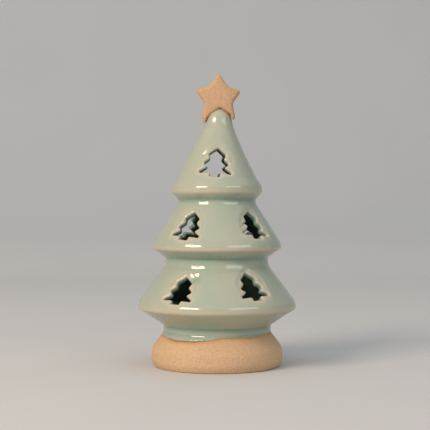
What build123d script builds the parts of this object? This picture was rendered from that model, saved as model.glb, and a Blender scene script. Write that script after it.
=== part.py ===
"""Ceramic christmas tree lantern: a thrown stoneware tree with glaze and a star, over a battery tealight.

Millimetres, +Z up. The origin is on the table, on the tree's axis. The front of the tree faces -Y.
"""

import math
import os

from build123d import *

# Thrown stoneware tree, from the table up: outside radii, and the rise of each run of the profile
foot_rest_radius = 33.4
foot_edge_rise = 1.8
foot_radius = 35.6
foot_side_rise = 9.8
foot_shoulder_radius = 35.3
foot_shoulder_rise = 7.2
waist_radius = 29.4
waist_rise = 4.2
lower_eave_rise = 9.7
lower_rim_radius = 44.3
lower_tier_rise = 22.8
lower_neck_radius = 27.7
lower_neck_rise = 4.7
middle_eave_rise = 5.5
middle_rim_radius = 35.5
middle_tier_rise = 23.3
upper_neck_radius = 20.5
upper_neck_rise = 2.8
upper_eave_rise = 4.5
upper_rim_radius = 24.9
upper_tier_rise = 35.8
tip_radius = 7.6
crown_rise = 9.3
crown_radius = 7.2

# Softening of the thrown edges, in the order of the profile's corners
foot_edge_round = 1.5
foot_shoulder_round = 4.0
waist_round = 4.0
eave_round = 5.0
lower_rim_round = 3.2
neck_round = 6.0
tight_eave_round = 1.5
middle_rim_round = 2.4
upper_neck_round = 4.0
upper_eave_round = 1.2
upper_rim_round = 2.0
tip_round = 6.0
crown_round = 6.6

# Wall, cavity and fired glaze
wall = 3.6
inside_round = 3.0
crown_thickness = 14.0
glaze_thickness = 0.35
glaze_line_drop = 1.5
glaze_line_wave = 2.2

# Tree-shaped cutter, and where its cuts are centred on each tier, as shares of the tier from rim to neck
cutter_height = 18.0
cutter_width = 17.6
cutter_corner_round = 0.5
cutter_overrun = 4.8
upper_cut_share = 0.46
middle_cut_share = 0.50
lower_cut_share = 0.505

# Slab star
star_radius = 13.4
star_thickness = 6.4
star_tip_round = 1.4
star_notch_round = 1.2
star_edge_round = 1.2
star_edge_limit_share = 0.9
star_rise = 5.4
star_shift = 0.9
star_lead = 2.4

# Battery tealight: cup, flame and the clearance of its fits
shell_wall = 1.3
shell_edge_round = 0.8
dish_land = 1.5
dish_depth = 1.6
dish_floor = 1.0
fit_gap = 0.15
flame_radius = 5.0
flame_collar_rise = 4.6
flame_rise = 20.0
flame_swell_share = 0.4
flame_taper_share = 0.6
flame_point_share = 0.3
flame_flange_width = 2.5
flame_flange_thickness = 1.2

# LED and its board
led_radius = 2.5
led_flange_width = 0.4
led_flange_thickness = 1.0
led_height = 8.0
led_standoff = 1.5
led_room = 0.25
led_headroom = 1.4
lead_radius = 0.25
lead_pitch = 2.54
lead_tail = 0.4
board_thickness = 1.0
board_gap = 0.8

# Base plate with its bayonet opening, posts and switch slot
base_recess = 0.9
base_thickness = 1.6
post_radius = 1.1
post_tip_radius = 0.7
post_inner_margin = 0.7
post_outer_margin = 0.85
post_count = 3
stake_height = 0.7
stake_lip = 0.5

# Bayonet battery cap and coin cell
cap_lip = 0.75
cap_thickness = 1.2
tray_wall = 1.1
tray_height = 2.1
lug_reach = 1.9
lug_thickness = 1.0
lug_lift = 0.1
lug_sweep = 30.0
lug_count = 2
bayonet_turn = 80.0
coin_slot_length = 14.0
coin_slot_width = 1.6
coin_slot_depth = 0.5
cell_radius = 10.0
cell_thickness = 3.2
cell_button_radius = 8.8
cell_button_height = 0.3

# Spring contacts
contact_thickness = 0.3
contact_width = 4.0
contact_pad = 3.5
contact_start = 9.0
contact_toe = 2.0
contact_gap = 0.1
contact_room = 1.6

# Slide switch
switch_travel = 2.5
knob_length = 2.6
knob_width = 1.5
knob_recess = 0.4
knob_flange_length = 6.0
knob_flange_width = 2.6
knob_flange_thickness = 1.0
knob_stem_length = 1.6

# The cut below the glaze line runs this far past the clay
overrun = 2.0


def along(start, end):
    """Unit vector of the run from one profile corner to the next."""
    return (Vector(*end) - Vector(*start)).normalized()


def turn_at(before, corner, after):
    """Signed turn of the profile at a corner, in degrees. A nose is positive and a crease negative."""
    first = along(before, corner)
    second = along(corner, after)
    return math.degrees(math.atan2(first.X * second.Y - first.Y * second.X, first.dot(second)))


def eased(corners, rounds, most_share=0.96):
    """Corner radii, scaled down where the two arcs on a run would meet."""
    tangents = [0]
    for before, corner, after, wanted in zip(corners, corners[1:], corners[2:], rounds):
        half_turn = math.radians(abs(turn_at(before, corner, after))) / 2
        tangents.append(wanted * math.tan(half_turn))
    tangents.append(0)
    eases = []
    for start, end, start_tangent, end_tangent in zip(corners, corners[1:], tangents, tangents[1:]):
        eases.append(min(1, most_share * math.dist(start, end) / (start_tangent + end_tangent)))
    return [wanted * min(run_ease) for wanted, run_ease in zip(rounds, zip(eases, eases[1:]))]


def inset(corners, rounds, depth):
    """The profile's corners and radii moved square to each run, towards the inside of the clay."""
    moved = []
    for start, end in zip(corners, corners[1:]):
        run = along(start, end)
        inward = Vector(-run.Y, run.X) * depth
        moved.append((Vector(*start) + inward, run))
    joined = []
    for (start, run), (next_start, next_run) in zip(moved, moved[1:]):
        across = run.X * next_run.Y - run.Y * next_run.X
        gap = next_start - start
        reach = (gap.X * next_run.Y - gap.Y * next_run.X) / across
        meeting = start + run * reach
        joined.append((meeting.X, meeting.Y))
    first_start, first_run = moved[0]
    down = first_start - first_run * (first_start.Y / first_run.Y)
    last_start, last_run = moved[-1]
    to_axis = last_start - last_run * (last_start.X / last_run.X)
    new_corners = [(down.X, down.Y), *joined, (to_axis.X, to_axis.Y)]
    new_rounds = []
    for before, corner, after, radius in zip(corners, corners[1:], corners[2:], rounds):
        nose = turn_at(before, corner, after) > 0
        new_rounds.append(radius - depth if nose else radius + depth)
    return new_corners, new_rounds


def lathe_face(corners, rounds):
    """Half section of a turned solid, from the table up one side and back down the axis."""
    with BuildSketch(Plane.XZ) as half_section:
        with BuildLine():
            side = FilletPolyline(*corners, radius=rounds)
            Polyline(side @ 1, (0, 0), side @ 0)
        make_face()
    return half_section.sketch


# Outside of the thrown tree, from the table up to the crown
thrown_runs = [
    (foot_rest_radius, 0),
    (foot_radius, foot_edge_rise),
    (foot_shoulder_radius, foot_side_rise),
    (waist_radius, foot_shoulder_rise),
    (waist_radius, waist_rise),
    (lower_rim_radius, lower_eave_rise),
    (lower_neck_radius, lower_tier_rise),
    (lower_neck_radius, lower_neck_rise),
    (middle_rim_radius, middle_eave_rise),
    (upper_neck_radius, middle_tier_rise),
    (upper_neck_radius, upper_neck_rise),
    (upper_rim_radius, upper_eave_rise),
    (tip_radius, upper_tier_rise),
    (crown_radius, crown_rise),
    (0, 0),
]
thrown_corners = []
crown_height = 0
for radius, rise in thrown_runs:
    crown_height += rise
    thrown_corners.append((radius, crown_height))
lower_tier = thrown_corners[5:7]
middle_tier = thrown_corners[8:10]
upper_tier = thrown_corners[11:13]
thrown_rounds = eased(
    thrown_corners,
    [
        foot_edge_round,
        foot_shoulder_round,
        waist_round,
        eave_round,
        lower_rim_round,
        neck_round,
        tight_eave_round,
        middle_rim_round,
        upper_neck_round,
        upper_eave_round,
        upper_rim_round,
        tip_round,
        crown_round,
    ],
)

# Cavity, one wall inside the thrown outside, closed under the thick crown
ceiling_height = crown_height - crown_thickness
ceiling_share = (ceiling_height - upper_tier[0][1]) / upper_tier_rise
cone_radius_at_ceiling = upper_rim_radius + (tip_radius - upper_rim_radius) * ceiling_share
wall_corners = [
    *thrown_corners[1:12],
    (cone_radius_at_ceiling, ceiling_height + wall),
    (0, ceiling_height + wall),
]
cavity_corners, _ = inset(wall_corners, [inside_round] * (len(wall_corners) - 2), wall)
cavity_rounds = eased(cavity_corners, [inside_round] * (len(cavity_corners) - 2))

# Fired surface: the glaze stands proud of the clay outside and inside
glazed_corners, glazed_rounds = inset(thrown_corners, thrown_rounds, -glaze_thickness)
lining_corners, lining_rounds = inset(cavity_corners, cavity_rounds, glaze_thickness)

# Half outline of the cutter: blunt branch tips and notches, as shares of its half width and of its height
cutter_outline_shares = [
    (0.00, 0.00),
    (0.53, 0.21),
    (0.51, 0.28),
    (0.44, 0.38),
    (0.76, 0.49),
    (0.73, 0.57),
    (0.53, 0.66),
    (1.00, 0.78),
    (0.98, 0.86),
    (0.34, 0.86),
    (0.33, 1.00),
]
right_half = [
    (across * cutter_width / 2, (0.5 - down) * cutter_height) for across, down in cutter_outline_shares
]
cutter_outline = right_half + [(-x, y) for x, y in reversed(right_half[1:])]

# Hand-placed cuts: bearing from the front in degrees, lift as a share of the cutter's height, roll in degrees
upper_cut_shares = [(-1, -0.05, -6), (186, -0.03, 3)]
middle_cut_shares = [(-33, 0.02, -4), (45, 0.05, -8), (152, 0.06, -2), (224, 0.07, 1)]
lower_cut_shares = [(-32, -0.03, -2), (32, 0.11, 4), (107, 0.00, 2), (181, 0.03, -1), (254, -0.02, 1)]


def cut_planes(cuts, centre_share, rim, neck):
    """Planes that lie on a tier's cone, facing out, one for each cut."""
    run = along(rim, neck)
    planes = []
    for bearing, lift_share, roll in cuts:
        climb = math.dist(rim, neck) * centre_share + lift_share * cutter_height
        radius = rim[0] + run.X * climb
        height = rim[1] + run.Y * climb
        turn = math.radians(bearing)
        outward = Vector(math.sin(turn), -math.cos(turn), 0)
        sideways = Vector(math.cos(turn), math.sin(turn), 0)
        facing = outward * run.Y - Vector(0, 0, run.X)
        place = outward * radius + Vector(0, 0, height)
        planes.append(Plane(place, x_dir=sideways, z_dir=facing).rotated((0, 0, roll)))
    return planes


cutter_planes = [
    *cut_planes(upper_cut_shares, upper_cut_share, *upper_tier),
    *cut_planes(middle_cut_shares, middle_cut_share, *middle_tier),
    *cut_planes(lower_cut_shares, lower_cut_share, *lower_tier),
]
cut_depth = wall + cutter_overrun


def cutter_face(grow):
    """Outline of the tree cutter, grown by the coat that lines the cut."""
    with BuildSketch() as outline:
        with BuildLine():
            Polyline(*cutter_outline, close=True)
        make_face()
        fillet(outline.vertices(), radius=cutter_corner_round)
        if grow > 0:
            offset(amount=grow)
    return outline.sketch


# Thrown tree with its cavity and cut-outs
with BuildPart() as tree_body:
    revolve(lathe_face(thrown_corners, thrown_rounds), axis=Axis.Z)
    revolve(lathe_face(cavity_corners, cavity_rounds), axis=Axis.Z, mode=Mode.SUBTRACT)
    with BuildSketch(*cutter_planes):
        add(cutter_face(glaze_thickness))
    extrude(amount=cut_depth + glaze_thickness, both=True, mode=Mode.SUBTRACT)
tree_body.part.label = "tree_body"

# Star cut from a slab and pressed onto the front of the crown. Corners are shares of its radius
star_outline_shares = [
    (0.02, 1.08),
    (-0.38, 0.52),
    (-0.96, 0.35),
    (-0.60, -0.17),
    (-0.66, -1.00),
    (0.00, -0.60),
    (0.69, -0.92),
    (0.57, -0.17),
    (0.96, 0.23),
    (0.38, 0.51),
]
star_corners = [(across * star_radius, up * star_radius) for across, up in star_outline_shares]
star_place = (star_shift, -star_lead, crown_height + star_rise)
with BuildPart() as star:
    with BuildSketch(Plane(star_place, x_dir=(1, 0, 0), z_dir=(0, -1, 0))):
        with BuildLine():
            FilletPolyline(*star_corners, radius=[star_tip_round, star_notch_round] * 5, close=True)
        make_face()
    extrude(amount=star_thickness / 2, both=True)
    slab_faces = star.faces().sort_by(Axis.Y)
    edge_limit = min(star_tip_round, star_thickness / 2) * star_edge_limit_share
    fillet(slab_faces[0].edges() + slab_faces[-1].edges(), radius=min(star_edge_round, edge_limit))
    add(tree_body.part, mode=Mode.SUBTRACT)
star.part.label = "star"

# Fired glaze over the clay, ending at the dipped line above the bare foot
glaze_line_shares = [
    (-1.60, 0.30),
    (-1.00, 0.18),
    (-0.74, -1.00),
    (-0.29, -0.55),
    (0.16, 0.36),
    (0.60, 0.14),
    (1.00, 0.86),
    (1.60, 0.50),
]
glaze_line_height = thrown_corners[3][1] - glaze_line_drop
glaze_line = [
    (across * waist_radius, glaze_line_height + up * glaze_line_wave) for across, up in glaze_line_shares
]
with BuildPart() as glaze_coat:
    revolve(lathe_face(glazed_corners, glazed_rounds), axis=Axis.Z)
    revolve(lathe_face(lining_corners, lining_rounds), axis=Axis.Z, mode=Mode.SUBTRACT)
    with BuildSketch(*cutter_planes):
        add(cutter_face(0))
    extrude(amount=cut_depth, both=True, mode=Mode.SUBTRACT)
    with BuildSketch(Plane.XZ):
        with BuildLine():
            dip = Spline(*glaze_line)
            Polyline(dip @ 1, ((dip @ 1).X, -overrun), ((dip @ 0).X, -overrun), dip @ 0)
        make_face()
    extrude(amount=lower_rim_radius + overrun, both=True, mode=Mode.SUBTRACT)
    add(tree_body.part, mode=Mode.SUBTRACT)
    add(star.part, mode=Mode.SUBTRACT)
glaze_coat.part.label = "glaze_coat"

# Sizes that the cell, its cap, the base and the cup share, from the cell outwards
tray_inside_radius = cell_radius + fit_gap
tray_radius = tray_inside_radius + tray_wall
cap_radius = tray_radius + cap_lip
lug_radius = tray_radius + lug_reach
lug_bearings = [index * 360 / lug_count for index in range(lug_count)]
post_circle_radius = lug_radius + fit_gap + post_inner_margin + post_radius
base_radius = post_circle_radius + post_radius + post_outer_margin
shell_inside_radius = base_radius + fit_gap
light_radius = shell_inside_radius + shell_wall

# Heights that the light's pieces share, from the table up
base_top = base_recess + base_thickness
tray_floor = base_recess + cap_thickness
cell_top = tray_floor + cell_thickness
board_underside = cell_top + contact_gap + contact_room
board_top = board_underside + board_thickness
led_base = board_top + led_standoff
led_dome_centre = led_base + led_height - led_radius
flange_bottom = led_base + led_flange_thickness + led_headroom
flange_top = flange_bottom + flame_flange_thickness
dish_height = flange_top + shell_wall
light_height = dish_height + dish_depth
flame_shoulder_height = dish_height + flame_collar_rise
flame_tip_height = flame_shoulder_height + flame_rise

# Radii of the flame's seat and bore
flame_hole_radius = flame_radius + fit_gap
flange_radius = flame_radius + flame_flange_width
bore_radius = led_radius + led_room

# Tealight cup with a dished top and a hole for the flame
with BuildPart() as candle_shell:
    with BuildSketch(Plane.XZ):
        with BuildLine():
            Polyline(
                (shell_inside_radius, 0),
                (light_radius, 0),
                (light_radius, light_height),
                (light_radius - dish_land, light_height),
                (flame_hole_radius + dish_floor, dish_height),
                (flame_hole_radius, dish_height),
                (flame_hole_radius, flange_top),
                (flange_radius + dish_floor, flange_top),
                (shell_inside_radius - dish_land, light_height - shell_wall),
                (shell_inside_radius, light_height - shell_wall),
                close=True,
            )
        make_face()
    revolve(axis=Axis.Z)
    crest = candle_shell.faces().filter_by(GeomType.PLANE).sort_by(Axis.Z)[-1]
    fillet(crest.edges().sort_by(SortBy.RADIUS)[-1], radius=min(shell_edge_round, shell_wall / 2))
candle_shell.part.label = "candle_shell"

# Flame-shaped diffuser, held under the cup's top by its flange and bored for the lamp
with BuildPart() as flame_lens:
    with BuildSketch(Plane.XZ):
        with BuildLine():
            flame = Bezier(
                (flame_radius, flame_shoulder_height),
                (flame_radius, flame_shoulder_height + flame_rise * flame_swell_share),
                (flame_radius * flame_point_share, flame_shoulder_height + flame_rise * flame_taper_share),
                (0, flame_tip_height),
            )
            dome = CenterArc((0, led_dome_centre), bore_radius, 0, 90)
            Line(flame @ 1, dome @ 1)
            Polyline(
                dome @ 0,
                (bore_radius, flange_bottom),
                (flange_radius, flange_bottom),
                (flange_radius, flange_top),
                (flame_radius, flange_top),
                flame @ 0,
            )
        make_face()
    revolve(axis=Axis.Z)
flame_lens.part.label = "flame_lens"

# LED lamp with its flange and domed end
with BuildPart() as led_lamp:
    with BuildSketch(Plane.XZ):
        with BuildLine():
            bulb = CenterArc((0, led_dome_centre), led_radius, 0, 90)
            Polyline(
                bulb @ 1,
                (0, led_base),
                (led_radius + led_flange_width, led_base),
                (led_radius + led_flange_width, led_base + led_flange_thickness),
                (led_radius, led_base + led_flange_thickness),
                bulb @ 0,
            )
        make_face()
    revolve(axis=Axis.Z)
led_lamp.part.label = "led_lamp"

# The lamp's two leads, through the board
lead_places = [(-lead_pitch / 2, 0), (lead_pitch / 2, 0)]
with BuildPart() as led_leads:
    with BuildSketch(Plane.XY.offset(board_underside - lead_tail)):
        with Locations(*lead_places):
            Circle(lead_radius)
    extrude(amount=led_base - board_underside + lead_tail)
led_leads.part.label = "led_leads"

# Round board with holes for the leads and for the base's posts
with BuildPart() as circuit_board:
    with BuildSketch(Plane.XY.offset(board_underside)):
        Circle(shell_inside_radius - board_gap)
        with Locations(*lead_places):
            Circle(lead_radius + fit_gap, mode=Mode.SUBTRACT)
        with PolarLocations(post_circle_radius, post_count, start_angle=90):
            Circle(post_tip_radius + fit_gap, mode=Mode.SUBTRACT)
    extrude(amount=board_thickness)
circuit_board.part.label = "circuit_board"


def ring_sector(inner, outer, middle, sweep):
    """Flat sector of a ring about the axis, centred on one bearing."""
    with BuildSketch() as sector:
        with BuildLine():
            far = CenterArc((0, 0), outer, middle - sweep / 2, sweep)
            near = CenterArc((0, 0), inner, middle - sweep / 2, sweep)
            Line(far @ 0, near @ 0)
            Line(far @ 1, near @ 1)
        make_face()
    return sector.sketch


# Base plate: bayonet opening, switch slot, and posts staked over the board
with BuildPart() as base_plate:
    with BuildSketch(Plane.XY.offset(base_recess)):
        Circle(base_radius)
        Circle(cap_radius + fit_gap, mode=Mode.SUBTRACT)
        for bearing in lug_bearings:
            notch_sweep = lug_sweep + math.degrees(2 * fit_gap / tray_radius)
            notch = ring_sector(tray_radius, lug_radius + fit_gap, bearing + bayonet_turn, notch_sweep)
            add(notch, mode=Mode.SUBTRACT)
        with Locations((0, -post_circle_radius)):
            slot_length = knob_length + switch_travel + 2 * fit_gap
            Rectangle(slot_length, knob_width + 2 * fit_gap, mode=Mode.SUBTRACT)
    extrude(amount=base_thickness)
    with BuildSketch(Plane.XY.offset(base_top)):
        with PolarLocations(post_circle_radius, post_count, start_angle=90):
            Circle(post_radius)
    extrude(amount=board_underside - base_top)
    with BuildSketch(Plane.XY.offset(board_underside)):
        with PolarLocations(post_circle_radius, post_count, start_angle=90):
            Circle(post_tip_radius)
    extrude(amount=board_thickness)
    with BuildSketch(Plane.XY.offset(board_top)):
        with PolarLocations(post_circle_radius, post_count, start_angle=90):
            Circle(post_tip_radius + stake_lip)
    extrude(amount=stake_height)
base_plate.part.label = "base_plate"

# Battery cap: disc with a coin slot, a tray for the cell and two bayonet lugs
with BuildPart() as battery_cap:
    with BuildSketch(Plane.XY.offset(base_recess)):
        Circle(cap_radius)
    extrude(amount=cap_thickness)
    with BuildSketch(Plane.XY.offset(tray_floor)):
        Circle(tray_radius)
        Circle(tray_inside_radius, mode=Mode.SUBTRACT)
    extrude(amount=tray_height)
    with BuildSketch(Plane.XY.offset(base_top + lug_lift)):
        for bearing in lug_bearings:
            add(ring_sector(tray_radius - tray_wall / 2, lug_radius, bearing, lug_sweep))
    extrude(amount=lug_thickness)
    with BuildSketch(Plane.XY.offset(base_recess)):
        SlotOverall(coin_slot_length, coin_slot_width)
    extrude(amount=coin_slot_depth, mode=Mode.SUBTRACT)
battery_cap.part.label = "battery_cap"

# Coin cell, button side up
with BuildPart() as coin_cell:
    with BuildSketch(Plane.XY.offset(tray_floor)):
        Circle(cell_radius)
    extrude(amount=cell_thickness - cell_button_height)
    with BuildSketch(Plane.XY.offset(cell_top - cell_button_height)):
        Circle(cell_button_radius)
    extrude(amount=cell_button_height)
coin_cell.part.label = "coin_cell"

# Leaf spring from the board down to the top of the cell
leaf_low = cell_top + contact_gap
with BuildPart() as contact_leaf:
    with BuildSketch(Plane.XZ):
        with BuildLine():
            Polyline(
                (-contact_start, board_underside),
                (-contact_start + contact_pad, board_underside),
                (0, leaf_low + contact_thickness),
                (contact_toe, leaf_low + contact_thickness),
                (contact_toe, leaf_low),
                (0, leaf_low),
                (-contact_start + contact_pad, board_underside - contact_thickness),
                (-contact_start, board_underside - contact_thickness),
                close=True,
            )
        make_face()
    extrude(amount=contact_width / 2, both=True)
contact_leaf.part.label = "contact_leaf"

# Blade from the board down beside the rim of the cell
blade_near = cell_radius + contact_gap
blade_low = tray_floor + tray_height + contact_thickness
with BuildPart() as contact_rim:
    with BuildSketch(Plane.XZ):
        with BuildLine():
            Polyline(
                (blade_near, blade_low),
                (blade_near + contact_thickness, blade_low),
                (blade_near + contact_thickness, board_underside - contact_thickness),
                (blade_near + contact_pad, board_underside - contact_thickness),
                (blade_near + contact_pad, board_underside),
                (blade_near, board_underside),
                close=True,
            )
        make_face()
    extrude(amount=contact_width / 2, both=True)
contact_rim.part.label = "contact_rim"

# Slide switch, at the off end of its slot
knob_place = (-switch_travel / 2, -post_circle_radius)
flange_base = base_top + lug_lift
flange_height = flange_base + knob_flange_thickness
with BuildPart() as switch_knob:
    with BuildSketch(Plane.XY.offset(knob_recess)):
        with Locations(knob_place):
            Rectangle(knob_length, knob_width)
    extrude(amount=flange_base - knob_recess)
    with BuildSketch(Plane.XY.offset(flange_base)):
        with Locations(knob_place):
            Rectangle(knob_flange_length, knob_flange_width)
    extrude(amount=knob_flange_thickness)
    with BuildSketch(Plane.XY.offset(flange_height)):
        with Locations(knob_place):
            Rectangle(knob_stem_length, knob_width)
    extrude(amount=board_underside - lug_lift - flange_height)
switch_knob.part.label = "switch_knob"

pieces = [
    tree_body,
    star,
    glaze_coat,
    candle_shell,
    flame_lens,
    led_lamp,
    led_leads,
    circuit_board,
    contact_leaf,
    contact_rim,
    base_plate,
    switch_knob,
    battery_cap,
    coin_cell,
]
os.makedirs("parts", exist_ok=True)
for piece in pieces:
    export_step(piece.part, f"parts/{piece.part.label}.step")
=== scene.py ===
# %% [markdown]
# # A ceramic christmas tree lantern
# The object is a hollow stoneware tree, thrown on a wheel, cut through with little tree-shaped light holes,
# dipped in a pale celadon glaze and topped with a star of bare clay. It stands over a battery tealight.
# The first cell loads the engineering model as a fixed frame. Everything made below sits in that frame, in
# metres, and its size is kept.

import math

import bmesh
import bpy
import numpy as np
from mathutils import Matrix, Vector


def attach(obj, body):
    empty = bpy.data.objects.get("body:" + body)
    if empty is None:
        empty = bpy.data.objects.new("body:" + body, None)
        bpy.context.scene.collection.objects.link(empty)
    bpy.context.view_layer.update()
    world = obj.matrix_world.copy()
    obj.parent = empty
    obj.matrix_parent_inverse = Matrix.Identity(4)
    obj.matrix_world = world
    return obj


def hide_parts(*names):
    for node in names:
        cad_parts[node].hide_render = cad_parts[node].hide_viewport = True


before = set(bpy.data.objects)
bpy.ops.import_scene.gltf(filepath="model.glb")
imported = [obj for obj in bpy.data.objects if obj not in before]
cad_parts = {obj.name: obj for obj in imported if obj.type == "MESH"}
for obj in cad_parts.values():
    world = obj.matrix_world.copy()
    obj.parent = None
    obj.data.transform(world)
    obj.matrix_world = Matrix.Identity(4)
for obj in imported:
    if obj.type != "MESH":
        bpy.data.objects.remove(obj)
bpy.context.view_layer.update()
scene = bpy.context.scene
MM = 0.001

# %% [markdown]
# The photograph was taken from in front, a little above the middle of the tree, with a long lens. A long lens
# far away keeps the tiers from looking swollen, which a short lens close up would do. The camera is aimed
# at a point close to the tree's axis instead of being shifted, so other views stay centred too.

# %% Camera
camera_data = bpy.data.cameras.new("photo_camera")
camera_data.lens = 103.0
camera_data.sensor_width = 36.0
camera_data.clip_start = 0.01
camera = bpy.data.objects.new("photo_camera", camera_data)
scene.collection.objects.link(camera)
camera.location = (0.0, -0.678, 0.0967)
aim = Vector((-0.0011, 0.0, 0.0829))
camera.rotation_euler = (aim - camera.location).to_track_quat("-Z", "Y").to_euler()
scene.camera = camera
scene.view_settings.view_transform = "Standard"
print("camera", round((aim - camera.location).length, 3), "m from the tree")

# %% [markdown]
# A potter photographs work on a paper sweep: a sheet that lies flat under the pot and curves up behind it, so
# there is no corner to see. It could be two planes with a bevel, but a strip of faces that follows the curve
# is just as short and shades evenly.

# %% Paper sweep
def paper_sweep(half_width=2.4, flat_rows=(-2.2, -0.8, 0.0), bend=0.62, radius=0.55, top=1.9, steps=24):
    """Strip that runs along the floor and bends up into the wall."""
    line = [(row, 0.0) for row in flat_rows]
    for step in range(steps + 1):
        turn = math.pi / 2 * step / steps
        line.append((bend + radius * math.sin(turn), radius * (1 - math.cos(turn))))
    line.append((bend + radius, top))
    sheet = bmesh.new()
    rows = [[sheet.verts.new((x, y, z)) for x in (-half_width, half_width)] for y, z in line]
    for near, far in zip(rows, rows[1:]):
        sheet.faces.new((near[0], near[1], far[1], far[0])).smooth = True
    mesh = bpy.data.meshes.new("paper_sweep")
    sheet.to_mesh(mesh)
    sheet.free()
    return bpy.data.objects.new("paper_sweep", mesh)


sweep = paper_sweep()
scene.collection.objects.link(sweep)
print("sweep with", len(sweep.data.polygons), "faces")

# %% [markdown]
# The highlights tell how the tree was lit. Each rim carries one short white streak, left of the middle, so
# there is one narrow warm softbox, low and to the left. That it is low shows in the long shadow too. Paler
# streaks on the right come from a card, which is set to be mirrored in the glaze without lighting the clay. A
# wide panel overhead and a card in front fill the shadows; the front card isn't mirrored, because its edges
# would draw a window on the cones. The world adds an even grey, as the walls of a studio do. The strengths
# are set so that a surface that faces the lights renders in about the colour that it is given.

# %% Lights
lit_point = Vector((0, 0, 0.08))


def softbox(name, direction, distance, long_side, short_side, long_way, power, tint):
    """Rectangular lamp aimed at the middle of the tree, its long side along a given direction."""
    lamp = bpy.data.lights.new(name, "AREA")
    lamp.shape = "RECTANGLE"
    lamp.size, lamp.size_y = long_side, short_side
    lamp.energy = power
    lamp.color = tint
    holder = bpy.data.objects.new(name, lamp)
    scene.collection.objects.link(holder)
    towards = Vector(direction).normalized()
    across = Vector(long_way)
    across = (across - towards * across.dot(towards)).normalized()
    turned = Matrix((across, towards.cross(across), towards)).transposed().to_4x4()
    holder.matrix_world = Matrix.Translation(towards * distance + lit_point) @ turned
    holder.visible_camera = False
    return holder


key_softbox = softbox(
    "key_softbox", direction=(-0.609, -0.629, 0.482), distance=1.6, long_side=0.76, short_side=0.34,
    long_way=(-0.522, 0.601, -0.084), power=18.0, tint=(1.0, 0.82, 0.65),
)
ceiling_panel = softbox(
    "ceiling_panel", direction=(0.12, -0.34, 1.0), distance=1.6, long_side=3.2, short_side=3.2,
    long_way=(1.0, 0.0, 0.0), power=13.0, tint=(0.93, 0.97, 1.0),
)
right_card = softbox(
    "right_card", direction=(0.617, -0.633, 0.468), distance=1.2, long_side=0.88, short_side=0.28,
    long_way=(0.522, 0.601, -0.084), power=2.6, tint=(0.88, 0.97, 1.0),
)
right_card.visible_diffuse = False
front_card = softbox(
    "front_card", direction=(0.30, -0.93, 0.12), distance=1.4, long_side=1.2, short_side=0.8,
    long_way=(1.0, 0.32, 0.0), power=2.0, tint=(0.90, 0.97, 1.0),
)
front_card.visible_glossy = False
world = bpy.data.worlds.new("studio")
world.use_nodes = True
background = world.node_tree.nodes["Background"]
background.inputs["Color"].default_value = (0.90, 0.955, 1.0, 1)
background.inputs["Strength"].default_value = 0.37
scene.world = world
print("lamps:", *(lamp.name for lamp in (key_softbox, ceiling_panel, right_card, front_card)))

# %% [markdown]
# The tree's outside is a surface of revolution, so it starts as one line, like a potter's rib. The corners
# below are the edges of the form in millimetres: radius, height, and how far before the corner its bend
# begins. A chain of fillets would look machined. Cutting the corners again and again, as one whittles a
# stick, gives one flowing line instead. Each cone changes its slope a little just above its rim, where the
# thrower's finger drew the edge out, and that is where the streaks of light sit.

# %% Thrown outline
thrown_edges = [
    (34.2, -12.0, 0.0),
    (34.2, -0.4, 0.8),
    (36.1, 3.4, 2.2),
    (35.9, 10.4, 4.0),
    (29.4, 18.9, 3.0),
    (29.4, 22.9, 3.0),
    (43.6, 32.2, 1.8),
    (42.6, 35.8, 1.5),
    (28.6, 54.4, 1.5),
    (27.8, 57.5, 1.0),
    (27.9, 59.9, 0.9),
    (35.2, 64.9, 1.6),
    (34.4, 68.0, 1.3),
    (21.3, 88.4, 1.4),
    (20.7, 90.8, 0.9),
    (20.8, 91.8, 0.5),
    (24.8, 95.6, 1.4),
    (24.2, 99.0, 1.5),
    (21.5, 103.0, 1.8),
    (8.2, 130.2, 2.0),
    (7.0, 134.2, 1.2),
    (6.65, 135.8, 0.8),
    (5.9, 138.2, 1.2),
    (3.4, 141.0, 1.4),
    (0.0, 142.2, 0.0),
]


def flowing(edges, passes=4):
    """Line of short runs along an outline, its corners whittled off again and again."""
    line = [np.array(edges[0][:2])]
    for (x0, y0, reach0), (x1, y1, reach1) in zip(edges, edges[1:]):
        start, end = np.array([x0, y0]), np.array([x1, y1])
        length = np.linalg.norm(end - start)
        ease = min(1.0, length / max(2 * (reach0 + reach1), 1e-9))
        way = (end - start) / length
        line += [start + way * 2 * reach0 * ease, end - way * 2 * reach1 * ease, end]
    line = np.array(line)
    for _ in range(passes):
        cut = np.empty((2 * len(line) - 2, 2))
        cut[0::2] = 0.75 * line[:-1] + 0.25 * line[1:]
        cut[1::2] = 0.25 * line[:-1] + 0.75 * line[1:]
        line = np.vstack([line[:1], cut, line[-1:]])
    return line


thrown_line = flowing(thrown_edges)
print("thrown outline of", len(thrown_line), "points, widest", round(thrown_line[:, 0].max(), 2), "mm")

# %% [markdown]
# Cut-outs with soft edges are hard to get by joining and bevelling meshes: the bevel breaks wherever two
# corners come close. A distance field is easier. It is a function that tells, for any point, how far it is
# from the clay, and it is negative inside. What two shapes share is found by taking the larger of their
# fields, and a rounded edge only needs a soft version of "the larger". This cell measures the distance to the
# outline once, on a fine grid of radius and height, and then looks it up with a smooth four-by-four blend.

# %% Distance to the thrown outline
def run_distance(line, x, y):
    """Distance from points to the nearest run of a line."""
    best = np.full(np.shape(x), 1e9)
    for (x0, y0), (x1, y1) in zip(line, line[1:]):
        dx, dy = x1 - x0, y1 - y0
        along = np.clip(((x - x0) * dx + (y - y0) * dy) / (dx * dx + dy * dy + 1e-12), 0, 1)
        np.minimum(best, (x - x0 - along * dx) ** 2 + (y - y0 - along * dy) ** 2, out=best)
    return np.sqrt(best)


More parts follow.
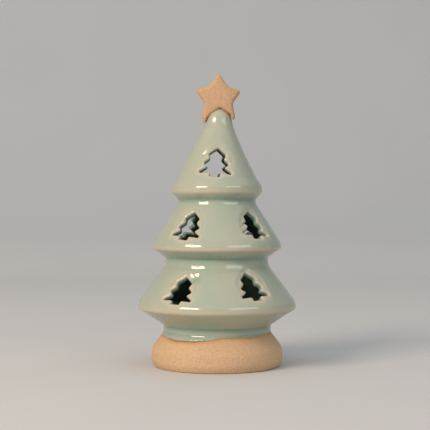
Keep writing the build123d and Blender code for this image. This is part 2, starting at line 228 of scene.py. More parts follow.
chart_step, chart_margin = 0.3, 3.001
chart_inner, chart_outer = -1.5, 52.0
chart_low, chart_top = -4.0, 148.0
chart_radii = np.arange(chart_inner, chart_outer, chart_step)
chart_heights = np.arange(chart_low, chart_top, chart_step)
chart_r, chart_z = np.meshgrid(np.abs(chart_radii), chart_heights)
chart = run_distance(thrown_line, chart_r, chart_z)
edge_radius = np.interp(chart_z, thrown_line[:, 1], thrown_line[:, 0], right=0.0)
chart[(chart_r < edge_radius) & (chart_z < thrown_line[-1, 1])] *= -1


def outside_distance(r, z):
    """Distance to the thrown outside, negative in the clay, read smoothly from the chart."""
    col = np.clip((r - chart_inner) / chart_step, 1, chart.shape[1] - chart_margin)
    row = np.clip((z - chart_low) / chart_step, 1, chart.shape[0] - chart_margin)
    c, k = col.astype(int), row.astype(int)
    weights = []
    for t in (col - c, row - k):
        weights.append([
            ((2 - t) * t - 1) * t / 2,
            ((3 * t - 5) * t * t + 2) / 2,
            ((4 - 3 * t) * t + 1) * t / 2,
            (t - 1) * t * t / 2,
        ])
    total = np.zeros(np.shape(r))
    for i in range(4):
        for j in range(4):
            total += weights[0][i] * weights[1][j] * chart[k + j - 1, c + i - 1]
    return total


print("chart", chart.shape, "deepest clay", round(float(chart.min()), 2), "mm")

# %% [markdown]
# The light holes were cut from leather-hard clay with a small tree-shaped cutter, pressed in square to the
# cone, by hand. Their edges were then wiped with a wet sponge, which wore the clay down in a soft border. The
# border is a smooth arch and doesn't follow the teeth. Both outlines are the same left and right, so half of
# each is written down, in millimetres, and mirrored.

# %% Tree-shaped cutter
cutter_height = 18.0
cutter_half = np.array([
    (0.0, 9.0), (4.7, 5.2), (4.5, 4.0), (3.9, 2.2), (6.7, 0.1), (6.4, -1.2),
    (4.7, -2.8), (8.8, -5.0), (8.6, -6.5), (3.0, -6.5), (2.9, -9.0),
])
sponged_half = np.array([(0.0, 12.0), (3.6, 10.2), (9.0, 4.6), (9.9, -1.0), (10.0, -6.0), (7.0, -10.5)])
cutter_rounding, sponged_rounding = 0.5, 2.0


def mirrored(half):
    """Whole outline from the half that starts on the middle line."""
    return np.vstack([half, half[:0:-1] * (-1, 1)])


def ring_of(corners, reach):
    """Closed outline with each corner rounded off over a short reach."""
    loop = []
    for before, corner, after in zip(np.roll(corners, 1, 0), corners, np.roll(corners, -1, 0)):
        for other in (before, after):
            length = np.linalg.norm(other - corner)
            loop.append(corner + (other - corner) / length * min(reach, 0.45 * length))
        loop.insert(-1, 0.5 * corner + 0.25 * (loop[-2] + loop[-1]))
    return np.vstack([loop, loop[:1]])


def ring_distance(loop, x, y):
    """Distance to a closed outline, negative inside it."""
    inside = np.zeros(np.shape(x), bool)
    for (x0, y0), (x1, y1) in zip(loop, loop[1:]):
        crosses = (y0 > y) != (y1 > y)
        inside ^= crosses & (x < (x1 - x0) * (y - y0) / (y1 - y0 + 1e-12) + x0)
    return np.where(inside, -1, 1) * run_distance(loop, x, y)


cutter_ring = ring_of(mirrored(cutter_half), cutter_rounding)
sponged_ring = ring_of(mirrored(sponged_half), sponged_rounding)
print("cutter outline of", len(cutter_ring), "points")

# %% [markdown]
# A hand places each cut a little differently. For each tier the first table gives the rim and the neck of its
# cone, as radius and height, and the share of the way up where its holes sit. For each cut the second table
# gives the bearing from the front, the lift as a share of the cutter's height, and the roll. The bearing and
# the roll are in degrees.

# %% Places of the light holes
tiers = {
    "upper": ((24.9, 96.3), (7.6, 132.1), 0.46),
    "middle": ((35.5, 65.7), (20.5, 89.0), 0.50),
    "lower": ((44.3, 32.7), (27.7, 55.5), 0.505),
}
hand_cuts = [
    ("upper", -1, -0.05, -6), ("upper", 186, -0.03, 3),
    ("middle", -33, 0.02, -4), ("middle", 45, 0.05, -8), ("middle", 152, 0.06, -2), ("middle", 224, 0.07, 1),
    ("lower", -32, -0.03, -2), ("lower", 32, 0.11, 4), ("lower", 107, 0.00, 2),
    ("lower", 181, 0.03, -1), ("lower", 254, -0.02, 1),
]
cut_frames = []
for tier, bearing, lift, roll in hand_cuts:
    rim, neck, share = (np.array(part) for part in tiers[tier])
    run = (neck - rim) / np.linalg.norm(neck - rim)
    middle = rim + (neck - rim) * share + run * lift * cutter_height
    turn, lean = math.radians(bearing), math.radians(roll)
    out = np.array([math.sin(turn), -math.cos(turn), 0.0])
    facing = out * run[1] - np.array([0, 0, run[0]])
    side = np.array([math.cos(turn), math.sin(turn), 0.0])
    up = np.cross(facing, side)
    place = out * middle[0] + np.array([0, 0, middle[1]])
    rolled_side = side * math.cos(lean) + up * math.sin(lean)
    rolled_up = up * math.cos(lean) - side * math.sin(lean)
    cut_frames.append((place, rolled_side, rolled_up, facing))
print(len(cut_frames), "light holes")

# %% [markdown]
# Now the field of the whole fired body. The wall is what lies between the outside and the same outside moved
# in by the wall's thickness; the crown stays thick, where the thrower closed the form. Then the foot is cut
# flat and the holes are taken out, each with a softened edge. A slow wobble of a few tenths of a millimetre
# keeps the tree from being perfectly round, and a fingertip left one dent above the lower left hole.

# %% Field of the fired clay
wall, ceiling, cut_depth = 3.6, 128.0, 8.4
ceiling_softness, foot_softness, hole_softness = 5.0, 0.8, 1.1
finger_dent, dent_depth, dent_reach = np.array([-11.2, -29.9, 49.9]), 1.5, 2.2
tip_lean, lean_start, lean_end = 1.1, 116, 138
oval_wobble, three_lobe_wobble = 0.16, 0.10
worn_step, worn_dish = 0.38, 0.06
cut_reach, cut_back, cut_front = 18, -13, 9
far_away = 50.0


def softer_max(a, b, soft):
    """The larger of two fields, with the edge between them rounded over a width."""
    near = np.maximum(soft - np.abs(a - b), 0) / soft
    return np.maximum(a, b) + near * near * soft / 4


def ramp(x, low, high):
    """0 below low, 1 above high, and a soft step between."""
    t = np.clip((x - low) / (high - low), 0, 1)
    return t * t * (3 - 2 * t)


def from_axis(points):
    """Distance from the turning axis, which leans a little to the right near the tip."""
    return np.hypot(points[:, 0] - tip_lean * ramp(points[:, 2], lean_start, lean_end), points[:, 1])


def clay_field(points):
    """Distance to the fired clay in millimetres, negative inside."""
    x, y, z = points.T
    bearing = np.arctan2(y, x)
    wobble = oval_wobble * np.sin(2 * bearing + 0.06 * z)
    wobble = wobble + three_lobe_wobble * np.sin(3 * bearing - 0.11 * z + 1.0)
    r = from_axis(points)
    side = outside_distance(r + wobble * np.clip(r / 20, 0, 1) * ramp(z, 0, 6), z)
    outer, hole = side.copy(), np.full(len(x), far_away)
    close = np.flatnonzero(side < 2.5)
    for place, across, up, facing in cut_frames:
        offset = points[close] - place
        here = (offset * offset).sum(1) < cut_reach ** 2
        near, offset = close[here], offset[here]
        u, v, w = offset @ across, offset @ up, offset @ facing
        keep = (w > cut_back) & (w < cut_front)
        near, u, v, w = near[keep], u[keep], v[keep], w[keep]
        border = ring_distance(sponged_ring, u, v)
        step_down = worn_step * ramp(-border, -0.1, 1.6) * ramp(v, -7, 0)
        worn = step_down + worn_dish * np.clip(-border - 0.8, 0, 4)
        outer[near] += worn * ramp(w, -7, -3)
        hole[near] = np.minimum(hole[near], np.maximum(ring_distance(cutter_ring, u, v), -(w + cut_depth)))
    outer += dent_depth * np.exp(-((points - finger_dent) ** 2).sum(1) / (2 * dent_reach ** 2))
    cavity = softer_max(side + wall, z - ceiling, ceiling_softness)
    body = softer_max(np.maximum(outer, -cavity), -z, foot_softness)
    return softer_max(body, -hole, hole_softness)


probes = np.array([[0.0, 0.0, 60.0], [27.0, 0.0, 60.0]])
print("field on the axis and near the skin at mid height:", np.round(clay_field(probes), 2))

# %% [markdown]
# To turn a field into a mesh, space is filled with small cells. Every cell that the surface passes through
# gets one vertex, and every grid edge that crosses the surface joins four of them into a face. Blender's
# voxel remesh does the same to a mesh, but it leaves small steps that a glossy glaze would show. Here each
# vertex is afterwards slid down the field until it lies on the surface, so the skin is truly smooth. To save
# time, a sparse grid is measured first, and the fine one only where the surface is near.

# %% Skin of a field
def window(grid, corner):
    """The values of a grid at one corner of each of its cells."""
    i, j, k = corner
    return grid[i:grid.shape[0] - 1 + i, j:grid.shape[1] - 1 + j, k:grid.shape[2] - 1 + k]


def skin(field, low, high, cell, stride=4, near_cells=7):
    """Vertices and quads of the closed surface where a field is zero."""
    low, high = np.array(low, float), np.array(high, float)
    count = np.ceil((high - low) / cell).astype(int) + 1
    axes = [low[i] + cell * np.arange(count[i]) for i in range(3)]
    points = np.stack(np.meshgrid(*axes, indexing="ij"), axis=-1)
    every = slice(stride // 2, None, stride)
    sparse = points[every, every, every]
    value = field(sparse.reshape(-1, 3)).reshape(sparse.shape[:3])
    for axis in range(3):
        nearest = np.clip(np.arange(count[axis]) // stride, 0, value.shape[axis] - 1)
        value = np.take(value, nearest, axis)
    close = np.abs(value) < near_cells * cell
    value[close] = field(points[close])
    inside = value < 0
    corners = [np.array(c) for c in np.ndindex(2, 2, 2)]
    full = sum(window(inside, c).astype(np.int8) for c in corners)
    cells = np.argwhere((full > 0) & (full < 8))
    number = np.full(count - 1, -1)
    number[tuple(cells.T)] = np.arange(len(cells))
    total, hits = np.zeros((len(cells), 3)), np.zeros(len(cells))
    for a in corners:
        for axis in range(3):
            if a[axis] == 0:
                b = a + np.eye(3, dtype=int)[axis]
                va, vb = value[tuple((cells + a).T)], value[tuple((cells + b).T)]
                cross = (va < 0) != (vb < 0)
                share = np.where(cross, va / np.where(cross, va - vb, 1), 0)
                total += cross[:, None] * (a + share[:, None] * (b - a))
                hits += cross
    verts = low + cell * (cells + total / hits[:, None])
    quads = []
    for axis in range(3):
        one, two = (axis + 1) % 3, (axis + 2) % 3
        step = np.eye(3, dtype=int)
        first = np.take(inside, range(count[axis] - 1), axis)
        second = np.take(inside, range(1, count[axis]), axis)
        edges = np.argwhere(first != second)
        flip = first[tuple(edges.T)]
        around = (step[one] + step[two], step[two], 0 * step[one], step[one])
        ring = np.column_stack([number[tuple((edges - shift).T)] for shift in around])
        ring[~flip] = ring[~flip][:, ::-1]
        quads.append(ring)
    return verts, np.vstack(quads)


def slope_of(field, points, step=0.06):
    """Direction in which a field grows fastest at each point."""
    slope = np.empty_like(points)
    for axis in range(3):
        move = np.zeros(3)
        move[axis] = step
        slope[:, axis] = (field(points + move) - field(points - move)) / (2 * step)
    return slope


def settled(field, points, rounds=2, longest=0.3, least_slope=0.2):
    """Points slid along the field until they lie on its surface."""
    for _ in range(rounds):
        slope = slope_of(field, points)
        move = field(points) / np.maximum((slope * slope).sum(1), least_slope)
        points = points - slope * np.clip(move, -longest, longest)[:, None]
    return points


clay_low, clay_high = (-45.3, -45.3, -1.3), (45.3, 45.3, 144.0)
clay_cell = 0.62
verts, quads = skin(clay_field, clay_low, clay_high, clay_cell)
verts = settled(clay_field, verts)
print("fired clay skin:", len(verts), "vertices,", len(quads), "faces")

# %% [markdown]
# Most of that skin is flat cone that needs few faces, while the teeth of the holes need many. The Decimate
# modifier knows this: it removes the vertices that change the shape least. The vertices that remain are
# settled on the field once more.

# %% Fewer faces on the plain parts
def mesh_of(name, points, faces):
    """Mesh in metres from points in millimetres, smooth shaded."""
    mesh = bpy.data.meshes.new(name)
    mesh.from_pydata((points * MM).tolist(), [], faces.tolist() if hasattr(faces, "tolist") else faces)
    mesh.validate()
    mesh.shade_smooth()
    return mesh


def thinned(points, faces, triangles):
    """Points and triangles of a skin after the Decimate modifier."""
    holder = bpy.data.objects.new("skin", mesh_of("skin", points, faces))
    scene.collection.objects.link(holder)
    fewer = holder.modifiers.new("fewer", "DECIMATE")
    fewer.ratio = min(1.0, triangles / (2 * len(faces)))
    fewer.use_collapse_triangulate = True
    made = bpy.data.meshes.new_from_object(holder.evaluated_get(bpy.context.evaluated_depsgraph_get()))
    points = np.empty(len(made.vertices) * 3)
    made.vertices.foreach_get("co", points)
    corners = np.empty(len(made.polygons) * 3, int)
    made.polygons.foreach_get("vertices", corners)
    bpy.data.objects.remove(holder)
    return points.reshape(-1, 3) / MM, corners.reshape(-1, 3)


clay_triangles = 92000
verts, faces = thinned(verts, quads, clay_triangles)
verts = settled(clay_field, verts)
print("after thinning:", len(verts), "vertices,", len(faces), "triangles")

# %% [markdown]
# The tree was dipped head first into the glaze bucket, and the foot was held clear. So the glaze ends in a
# wavy line above the foot. To cut the mesh along a wavy line with one flat knife, the wave is taken out of
# the heights first, the mesh is bisected at height zero, and the wave is put back.

# %% Glaze line
glaze_line = np.array([
    (-48, 17.6), (-30, 17.5), (-21.8, 15.6), (-8.6, 16.4),
    (4.6, 18.4), (17.8, 18.0), (29.4, 19.2), (48, 18.4),
])
line_samples, blur_reach, blur_width = 193, 12, 5.0
knife_snap, line_snap = 0.02, 0.021


def line_height(x):
    """Height of the glaze line at a place across the tree."""
    fine = np.linspace(glaze_line[0, 0], glaze_line[-1, 0], line_samples)
    rough = np.interp(fine, glaze_line[:, 0], glaze_line[:, 1])
    ripple = 0.12 * np.sin(fine * 0.6) + 0.06 * np.sin(fine * 1.3 + 1.0)
    weights = np.exp(-0.5 * (np.arange(-blur_reach, blur_reach + 1) / blur_width) ** 2)
    smooth = np.convolve(np.pad(rough, blur_reach, "edge"), weights / weights.sum(), "valid") + ripple
    return np.interp(x, fine, smooth)


def split_at_line(points, triangles):
    """The skin with a row of edges along the glaze line, and each vertex's height above that line."""
    knife = bmesh.new()
    flat = points.copy()
    flat[:, 2] -= line_height(points[:, 0])
    mesh = mesh_of("knife", flat / MM, triangles)
    knife.from_mesh(mesh)
    everything = knife.verts[:] + knife.edges[:] + knife.faces[:]
    bmesh.ops.bisect_plane(knife, geom=everything, dist=knife_snap, plane_co=(0, 0, 0), plane_no=(0, 0, 1))
    bmesh.ops.triangulate(knife, faces=knife.faces[:])
    knife.verts.index_update()
    points = np.array([v.co for v in knife.verts])
    triangles = np.array([[v.index for v in f.verts] for f in knife.faces])
    knife.free()
    above = points[:, 2].copy()
    above[np.abs(above) < line_snap] = 0.0
    points[:, 2] += line_height(points[:, 0])
    return points, triangles, above


verts, faces, above = split_at_line(verts, faces)
outward = slope_of(clay_field, verts)
outward /= np.linalg.norm(outward, axis=1)[:, None]
print("glaze line:", int((above == 0).sum()), "vertices on it")

# %% [markdown]
# Two meshes come from this one skin. The clay is the skin itself, drawn in by a hair where glaze will cover
# it. The glaze is the part above the line, given a thickness: a copy of the skin pushed out along its slope,
# joined to the skin at the line, where the coat thins to a rounded lip. A Solidify modifier would do nearly
# the same, but it can't taper the lip.

# %% Clay body and glaze coat
def piece_of(name, mesh, body, node):
    """Object that stands for an engineering part and moves with its body."""
    made = bpy.data.objects.new(name, mesh)
    scene.collection.objects.link(made)
    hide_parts(node)
    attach(made, body)
    return made


def note(mesh, name, values):
    """Keeps one number per vertex in the mesh, for the materials to read."""
    mesh.attributes.new(name, "FLOAT", "POINT").data.foreach_set("value", np.asarray(values, float))


glaze_depth, lip_width, drawn_in = 0.35, 1.3, 0.06
clay_points = verts - outward * (drawn_in * ramp(above, 0.0, 1.0))[:, None]
clay_mesh = mesh_of("thrown_clay", clay_points, faces)
note(clay_mesh, "above_line", above)
thrown_clay = piece_of("thrown_clay", clay_mesh, "tree", "tree_body")

glazed = faces[(above[faces] >= 0).all(1)]
used = np.unique(glazed)
number = np.full(len(verts), -1)
number[used] = np.arange(len(used))
lip = np.sqrt(1 - (1 - np.clip(above[used] / lip_width, 0, 1)) ** 2)
coat_out = verts[used] + outward[used] * (glaze_depth * lip)[:, None]
under = np.where(above[used] == 0, np.arange(len(used)), np.arange(len(used)) + len(used))
coat_faces = np.vstack([number[glazed], under[number[glazed]][:, ::-1]])
kept = np.unique(coat_faces)
renumber = np.full(2 * len(used), -1)
renumber[kept] = np.arange(len(kept))
coat_points = np.vstack([coat_out, verts[used]])[kept]
glaze_mesh = mesh_of("celadon_glaze", coat_points, renumber[coat_faces])
celadon_glaze = piece_of("celadon_glaze", glaze_mesh, "tree", "glaze_coat")
print("clay", len(clay_mesh.polygons), "triangles, glaze", len(glaze_mesh.polygons), "triangles")

# %% [markdown]
# A celadon glaze is coloured glass. It runs thin over edges, where the warm clay shows through as buff, and
# it gathers in hollows, where it looks deeper and greener; there it is also painted darker, as shade. So the
# material has to know how the surface bends. Adding up the field around a point gives just that: the sum is
# positive on an edge and negative in a hollow. It also has to know how far in from the outside a point lies,
# for the walls of the holes, painted a deeper green that is partly gathered glaze and partly shade, and for
# the inside, which is painted dark as shade.

# %% Where the glaze runs thin or gathers, and where shade is painted
def bending(points, step):
    """How sharply the clay bends around each point: positive on edges, negative in hollows."""
    total = -6 * clay_field(points)
    for axis in range(3):
        for way in (-step, step):
            move = np.zeros(3)
            move[axis] = way
            total += clay_field(points + move)
    return total / step ** 2


bend_step, wide_bend_step = 1.0, 2.0
bend, wide_bend = (
    np.tile(bending(verts[used], step), 2)[kept] for step in (bend_step, wide_bend_step)
)
inner = outside_distance(from_axis(coat_points), coat_points[:, 2])
# Painted shade: the hollows are darkened beyond the green of the gathered glaze.
note(glaze_mesh, "pooled_and_shaded_hollow", ramp(-wide_bend, 0.05, 0.30) * ramp(inner, -1.0, -0.2))
# Painted shade: the walls of the holes are darkened as well as greened by gathered glaze, and the inside is
# painted dark.
note(glaze_mesh, "hole_wall_pool_and_shade", ramp(-inner, 0.5, 1.2))
note(glaze_mesh, "inside_painted_shade", ramp(-inner, 2.2, 3.7))
thin = np.maximum(ramp(bend, 0.10, 0.70), 0.35 * ramp(wide_bend, 0.06, 0.32))
note(glaze_mesh, "edge_bend", thin * ramp(inner, -1.2, -0.5))
print("bend from", round(float(bend.min()), 2), "to", round(float(bend.max()), 2), "per mm")

# %% [markdown]
# The star was cut from a slab of the same clay and pressed onto the front of the tip while both were soft, so
# its legs stretch down around the crown and its right arm bends back. It is built like the tree: the distance
# to a star outline, given a thickness with rounded edges, and the crown taken out of it.

# %% Star
star_outline = np.array([
    (0.1, 13.9), (-5.2, 6.5), (-12.7, 4.8), (-7.6, -2.6), (-9.2, -9.4), (-8.8, -11.9), (-7.2, -13.7),
    (-6.1, -10.5), (-4.9, -9.3), (-0.4, -6.1), (0.8, -5.2), (2.0, -6.0), (6.9, -9.1), (7.7, -12.3),
    (9.0, -10.8), (8.9, -8.6), (7.5, -2.6), (12.5, 4.0), (5.2, 6.3),
])
star_rounding, star_edge, star_half_depth = 1.9, 1.7, 3.15
star_ring = ring_of(star_outline, star_rounding)
star_middle = np.array([0.9, -2.4, 146.8])
star_gap, star_softness = 0.02, 0.5


def star_field(points):
    """Distance to the slab star, negative inside."""
    x, y, z = (points - star_middle).T
    y = y - 0.018 * np.clip(x - 4.5, 0, 9) ** 2
    flat = ring_distance(star_ring, x, z) + star_edge
    half_depth = star_half_depth - 0.004 * (x * x + z * z)
    thick = np.abs(y + 0.12 * np.sin(0.5 * x + 0.3 * z)) - half_depth + star_edge
    past_edge = np.hypot(np.maximum(flat, 0), np.maximum(thick, 0))
    slab = past_edge + np.minimum(np.maximum(flat, thick), 0) - star_edge
    crown = outside_distance(from_axis(points), points[:, 2]) - glaze_depth
    return softer_max(slab, star_gap - crown, star_softness)


star_low, star_high = (-15, -8, 131), (17, 3, 164)
star_cell = 0.34
star_points, star_quads = skin(star_field, star_low, star_high, star_cell)
star_points = settled(star_field, star_points)
star_mesh = mesh_of("clay_star", star_points, star_quads)
star_x, _, star_z = (star_points - star_middle).T
star_border = ramp(ring_distance(star_ring, star_x, star_z), -star_edge, -0.2)
note(star_mesh, "above_line", -1.9 + 0.75 * star_border)
# The star is a little darker than the foot, and darker towards its right arm as painted shade.
note(star_mesh, "star_darker_and_painted_shade", 0.7 + 0.3 * ramp(star_x, -2, 9))
clay_star = piece_of("clay_star", star_mesh, "tree", "star")
print("star of", len(star_quads), "faces, top at", round(star_points[:, 2].max(), 1), "mm")

# %% [markdown]
# The finishes come next. These helpers only shorten the writing: one makes a node, one feeds a socket from
# another socket or from a plain value, three make the most used nodes, which are a colour mix, a soft step
# and a sum, and one starts a node group.

# %% Node helpers
def node(tree, kind, **settings):
    """New node with its settings."""
    made = tree.nodes.new(kind)
    for key, value in settings.items():
        setattr(made, key, value)
    return made


def feed(tree, socket, source):
    """Links a socket to its source, or sets it to a plain value."""
    if isinstance(source, bpy.types.NodeSocket):
        tree.links.new(source, socket)
    else:
        socket.default_value = source


def mixed(tree, share, first, second, kind="MIX"):
    """Colour between two colours, or blended in another way."""
    mix = node(tree, "ShaderNodeMix", data_type="RGBA", blend_type=kind)
    for socket, source in zip((mix.inputs[0], mix.inputs[6], mix.inputs[7]), (share, first, second)):
        feed(tree, socket, source)
    return mix.outputs[2]


def stepped(tree, value, low, high, from_value=0.0, to_value=1.0):
    """Soft step of a value between two limits."""
    step = node(tree, "ShaderNodeMapRange", interpolation_type="SMOOTHSTEP")
    names = ("Value", "From Min", "From Max", "To Min", "To Max")
    for name, source in zip(names, (value, low, high, from_value, to_value)):
        feed(tree, step.inputs[name], source)
    return step.outputs["Result"]


def times(tree, first, second, kind="MULTIPLY"):
    """Two values multiplied, or joined by another sum."""
    sum_node = node(tree, "ShaderNodeMath", operation=kind)
    feed(tree, sum_node.inputs[0], first)
    feed(tree, sum_node.inputs[1], second)
    return sum_node.outputs[0]


def effect(name, ins, outs):
    """Empty node group with named inputs and outputs."""
    group = bpy.data.node_groups.new(name, "ShaderNodeTree")
    for label, start in ins.items():
        group.interface.new_socket(label, in_out="INPUT", socket_type="NodeSocketFloat").default_value = start
    for label in outs:
        group.interface.new_socket(label, in_out="OUTPUT", socket_type="NodeSocketFloat")
    return group, node(group, "NodeGroupInput"), node(group, "NodeGroupOutput")


print("helpers ready")

# %% [markdown]
# Three effects are shared by several finishes, so each is a node group. Mottle is a slow cloudy change, for
# colour that is never quite even. Grain is a fine unevenness of the surface. Specks are small scattered dots,
# such as the iron in the clay.

# %% Shared effects
mottle, inlet, outlet = effect("mottle", {"Scale": 60.0, "Stretch": 1.0, "Contrast": 0.2}, ["Mask"])
where = node(mottle, "ShaderNodeTexCoord")
squeeze = node(mottle, "ShaderNodeCombineXYZ")
squeeze.inputs["X"].default_value = squeeze.inputs["Y"].default_value = 1.0
mottle.links.new(inlet.outputs["Stretch"], squeeze.inputs["Z"])
scaled = node(mottle, "ShaderNodeVectorMath", operation="MULTIPLY")
mottle.links.new(where.outputs["Object"], scaled.inputs[0])
mottle.links.new(squeeze.outputs[0], scaled.inputs[1])
cloud = node(mottle, "ShaderNodeTexNoise")
cloud.inputs["Detail"].default_value = 4.0
mottle.links.new(scaled.outputs[0], cloud.inputs["Vector"])
mottle.links.new(inlet.outputs["Scale"], cloud.inputs["Scale"])
low = times(mottle, 0.5, inlet.outputs["Contrast"], "SUBTRACT")
high = times(mottle, 0.5, inlet.outputs["Contrast"], "ADD")
mottle.links.new(stepped(mottle, cloud.outputs["Fac"], low, high), outlet.inputs["Mask"])

grain_group, inlet, outlet = effect("grain", {"Scale": 1500.0, "Coarse Share": 0.4}, ["Height"])
where = node(grain_group, "ShaderNodeTexCoord")
fine = node(grain_group, "ShaderNodeTexNoise")
coarse_noise = node(grain_group, "ShaderNodeTexNoise")
for texture, share in ((fine, 1.0), (coarse_noise, 0.28)):
    grain_group.links.new(where.outputs["Object"], texture.inputs["Vector"])
    grain_group.links.new(times(grain_group, inlet.outputs["Scale"], share), texture.inputs["Scale"])
coarse_height = times(grain_group, coarse_noise.outputs["Fac"], inlet.outputs["Coarse Share"])
height = times(grain_group, fine.outputs["Fac"], coarse_height, "ADD")
grain_group.links.new(height, outlet.inputs["Height"])

specks, inlet, outlet = effect("specks", {"Scale": 700.0, "Size": 0.16, "Share": 0.5}, ["Mask"])
where = node(specks, "ShaderNodeTexCoord")
dots = node(specks, "ShaderNodeTexVoronoi")
specks.links.new(where.outputs["Object"], dots.inputs["Vector"])
specks.links.new(inlet.outputs["Scale"], dots.inputs["Scale"])
chosen = node(specks, "ShaderNodeSeparateColor")
specks.links.new(dots.outputs["Color"], chosen.inputs[0])
few = times(specks, chosen.outputs[0], inlet.outputs["Share"], "LESS_THAN")
half_size = times(specks, inlet.outputs["Size"], 0.5)
small = stepped(specks, dots.outputs["Distance"], half_size, inlet.outputs["Size"], 1.0, 0.0)
specks.links.new(times(specks, small, few), outlet.inputs["Mask"])
print("effects:", mottle.name, grain_group.name, specks.name)

# %% [markdown]
# Every finish below is a Principled shader with a few colours mixed by masks. These four helpers keep each
# one short: a new material with its plain values set on the shader itself, a shared effect put to use, relief
# from a height, and the numbers that were noted on the mesh.

# %% Material helpers
def finish_of(name, **plain):
    """Material with a Principled shader whose plain values are set on its own sockets."""
    made = bpy.data.materials.new(name)
    made.use_nodes = True
    shader = made.node_tree.nodes["Principled BSDF"]
    for label, value in plain.items():
        shader.inputs[label.replace("_", " ").title().replace("Ior", "IOR")].default_value = value
    return made, made.node_tree, shader


def placed(tree, group, output, **values):
    """A shared effect in a material, with this material's values."""
    used_group = node(tree, "ShaderNodeGroup", node_tree=group)
    for label, value in values.items():
        feed(tree, used_group.inputs[label.replace("_", " ").title()], value)
    return used_group.outputs[output]


def bumped(tree, shader, height, depth, distance=0.001):
    """Surface relief from a height."""
    bump = node(tree, "ShaderNodeBump")
    bump.inputs["Strength"].default_value = depth
    bump.inputs["Distance"].default_value = distance
    feed(tree, bump.inputs["Height"], height)
    tree.links.new(bump.outputs["Normal"], shader.inputs["Normal"])


def noted(tree, name):
    """The number that a mesh keeps for each vertex."""
    return node(tree, "ShaderNodeAttribute", attribute_name=name).outputs["Fac"]


print("material helpers ready")

# %% [markdown]
# The clay is a sandy buff stoneware. Close up it is a fine grit of lighter and darker grains with a few iron
# specks, and it is quite matt. Where bare clay meets the glaze, salts from the glaze flash it to a thin
# orange line. The star is coloured a little darker than the foot, and darker still towards its right arm as
# painted shade.

# %% Bare stoneware
stoneware, tree, shader = finish_of("sandy_stoneware", roughness=0.88)
grit = placed(tree, mottle, "Mask", scale=1500.0, contrast=0.2)
patch = placed(tree, mottle, "Mask", scale=45.0, contrast=0.2)
colour = mixed(tree, grit, (0.545, 0.345, 0.19, 1), (0.69, 0.47, 0.29, 1))
colour = mixed(tree, times(tree, patch, 0.35), colour, (0.70, 0.44, 0.25, 1))
iron = placed(tree, specks, "Mask", scale=620.0, size=0.22, share=0.30)
colour = mixed(tree, times(tree, iron, 0.45), colour, (0.27, 0.15, 0.08, 1))
# Darker star, with painted shade towards its right arm.
colour = mixed(tree, noted(tree, "star_darker_and_painted_shade"), colour, (0.87, 0.82, 0.80, 1), "MULTIPLY")
flash = stepped(tree, noted(tree, "above_line"), -1.9, -0.1)
colour = mixed(tree, times(tree, flash, 0.85), colour, (0.62, 0.28, 0.09, 1))
tree.links.new(colour, shader.inputs["Base Color"])
bumped(tree, shader, placed(tree, grain_group, "Height", scale=1600.0, coarse_share=0.8), 0.35, 0.0006)
for bare in (thrown_clay, clay_star):
    bare.data.materials.append(stoneware)
print("bare stoneware on", thrown_clay.name, "and", clay_star.name)

# %% [markdown]
# The celadon is glossy, so most of its look is reflection. Its colour is a pale grey green that drifts
# slowly and goes buff on edges. It goes deep green in hollows and down the walls of the holes, partly as
# pooled glaze and partly as painted shade, and it is painted nearly black inside as shade. A very shallow
# ripple, wider than it is tall, stays from the thrower's fingers.

# %% Celadon glaze
celadon, tree, shader = finish_of("celadon", ior=1.5)
drift = placed(tree, mottle, "Mask", scale=38.0, stretch=0.5, contrast=0.22)
streak = placed(tree, mottle, "Mask", scale=120.0, stretch=0.35, contrast=0.25)
edge, pooled_shade = noted(tree, "edge_bend"), noted(tree, "pooled_and_shaded_hollow")
depth, inside_shade = noted(tree, "hole_wall_pool_and_shade"), noted(tree, "inside_painted_shade")
colour = mixed(tree, drift, (0.335, 0.410, 0.325, 1), (0.425, 0.440, 0.340, 1))
colour = mixed(tree, times(tree, streak, 0.3), colour, (0.46, 0.450, 0.335, 1))
# Greener pooled glaze in the hollows, darkened further as painted shade.
colour = mixed(tree, times(tree, pooled_shade, 0.85), colour, (0.205, 0.325, 0.26, 1))
colour = mixed(tree, times(tree, edge, 0.75), colour, (0.575, 0.485, 0.355, 1))
# Walls of the holes: gathered glaze and painted shade.
colour = mixed(tree, times(tree, depth, 0.8), colour, (0.20, 0.305, 0.25, 1))
# Inside: painted shade, nearly black.
colour = mixed(tree, times(tree, inside_shade, 0.9), colour, (0.07, 0.125, 0.09, 1))
tree.links.new(colour, shader.inputs["Base Color"])
tree.links.new(stepped(tree, streak, 0.0, 1.0, 0.07, 0.13), shader.inputs["Roughness"])
bumped(tree, shader, placed(tree, mottle, "Mask", scale=90.0, stretch=2.5, contrast=0.5), 0.012, 0.001)
celadon_glaze.data.materials.append(celadon)
print("celadon on", celadon_glaze.name)

# %% [markdown]
# The tealight inside is a bought one: an ivory cup moulded in plastic, a frosted flame, a lamp on a small
# green board, nickel-plated contacts and a coin cell under a turning cap. The engineering model already has
# these shapes, so each part keeps its shape and gets a finish. Moulded plastic is never quite smooth: it
# carries the fine spark texture of its mould and a slow change of gloss.

# %% Moulded plastics
def moulded(name, light, dark, dullness, texture, **plain):
    """Plastic with a slow change of colour and gloss and the fine texture of its mould."""
    made, tree, shader = finish_of(name, **plain)
    tone = placed(tree, mottle, "Mask", scale=110.0, contrast=0.3)
    tree.links.new(mixed(tree, tone, dark, light), shader.inputs["Base Color"])
    roughness = stepped(tree, tone, 0.0, 1.0, dullness + 0.07, dullness - 0.04)
    tree.links.new(roughness, shader.inputs["Roughness"])
    bumped(tree, shader, placed(tree, grain_group, "Height", scale=texture, coarse_share=0.5), 0.12, 0.0002)
    return made


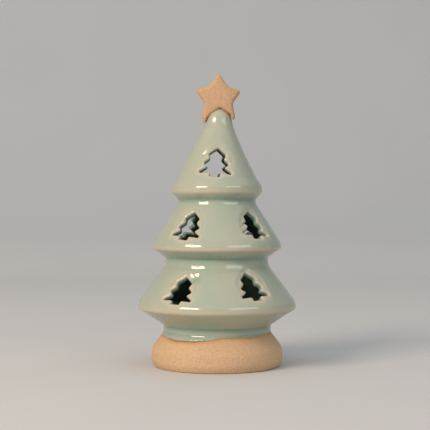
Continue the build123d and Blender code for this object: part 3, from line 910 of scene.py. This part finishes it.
ivory = moulded(
    "ivory_cup", light=(0.78, 0.73, 0.61, 1), dark=(0.72, 0.66, 0.53, 1), dullness=0.42, texture=5200.0,
    subsurface_weight=0.12, subsurface_scale=0.002,
)
flame_white = moulded(
    "frosted_flame", light=(0.86, 0.76, 0.55, 1), dark=(0.80, 0.66, 0.42, 1), dullness=0.50, texture=6500.0,
    subsurface_weight=0.55, subsurface_scale=0.004,
)
switch_black = moulded(
    "black_switch", light=(0.030, 0.030, 0.032, 1), dark=(0.018, 0.018, 0.019, 1),
    dullness=0.46, texture=4200.0,
)
resin, tree, shader = finish_of("lamp_resin", ior=1.52, transmission_weight=0.75)
haze = placed(tree, mottle, "Mask", scale=420.0, contrast=0.3)
tree.links.new(mixed(tree, haze, (0.93, 0.84, 0.58, 1), (0.97, 0.91, 0.74, 1)), shader.inputs["Base Color"])
tree.links.new(stepped(tree, haze, 0.0, 1.0, 0.08, 0.2), shader.inputs["Roughness"])
print("plastics:", ivory.name, flame_white.name, switch_black.name, resin.name)

# %% [markdown]
# The metal is nickel plate over steel strip. Rolling leaves fine lines along the strip, and handling leaves
# cloudy dull patches. The board is glass-fibre laminate under green lacquer; its copper rings lie under the
# lacquer as paler bands, and the weave of the glass shows as a faint mottle.

# %% Metal and board
nickel, tree, shader = finish_of("nickel_plate", metallic=1.0)
dull = placed(tree, mottle, "Mask", scale=260.0, contrast=0.25)
rolled = placed(tree, mottle, "Mask", scale=2600.0, stretch=0.08, contrast=0.3)
tree.links.new(mixed(tree, dull, (0.74, 0.72, 0.68, 1), (0.60, 0.585, 0.55, 1)), shader.inputs["Base Color"])
tree.links.new(stepped(tree, dull, 0.0, 1.0, 0.20, 0.38), shader.inputs["Roughness"])
bumped(tree, shader, rolled, 0.08, 0.0001)

lacquer, tree, shader = finish_of("green_lacquer", coat_weight=0.35, coat_roughness=0.12)
where = node(tree, "ShaderNodeTexCoord")
rings = node(tree, "ShaderNodeTexWave", wave_type="RINGS", rings_direction="Z")
rings.inputs["Scale"].default_value = 95.0
tree.links.new(where.outputs["Object"], rings.inputs["Vector"])
copper = stepped(tree, rings.outputs["Fac"], 0.62, 0.70)
weave = placed(tree, mottle, "Mask", scale=900.0, contrast=0.25)
colour = mixed(tree, weave, (0.020, 0.115, 0.048, 1), (0.026, 0.14, 0.06, 1))
colour = mixed(tree, copper, colour, (0.075, 0.235, 0.085, 1))
tree.links.new(colour, shader.inputs["Base Color"])
tree.links.new(stepped(tree, weave, 0.0, 1.0, 0.34, 0.46), shader.inputs["Roughness"])
bumped(tree, shader, copper, 0.25, 0.00005)

finishes = {
    "candle_shell": ivory, "base_plate": ivory, "battery_cap": ivory,
    "flame_lens": flame_white, "led_lamp": resin, "switch_knob": switch_black,
    "led_leads": nickel, "contact_leaf": nickel, "contact_rim": nickel, "coin_cell": nickel,
    "circuit_board": lacquer,
}
for part, look in finishes.items():
    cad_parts[part].data.materials[0] = look
print("finished", len(finishes), "parts of the tealight")

# %% [markdown]
# The paper of the sweep is a warm light grey with a trace of tooth, so the floor isn't a perfectly flat tone.
# Where it rises into the wall it is graded a little darker and cooler: painted shade, standing in for the
# warm key light, which reaches the wall less than the floor.

# %% Paper
paper, tree, shader = finish_of("grey_paper", roughness=0.9)
tooth = placed(tree, mottle, "Mask", scale=9.0, contrast=0.35)
colour = mixed(tree, tooth, (0.615, 0.600, 0.590, 1), (0.635, 0.620, 0.608, 1))
graded_height, wall_painted_shade_tint = 0.05, (0.87, 0.905, 0.93, 1)
on_paper = node(tree, "ShaderNodeSeparateXYZ")
tree.links.new(node(tree, "ShaderNodeTexCoord").outputs["Object"], on_paper.inputs[0])
# Painted shade: the wall is made darker and cooler than the floor.
wall_shade_rise = stepped(tree, on_paper.outputs["Z"], 0.0, graded_height)
colour = mixed(tree, wall_shade_rise, colour, wall_painted_shade_tint, "MULTIPLY")
tree.links.new(colour, shader.inputs["Base Color"])
sweep.data.materials.append(paper)
print("paper on", sweep.name)
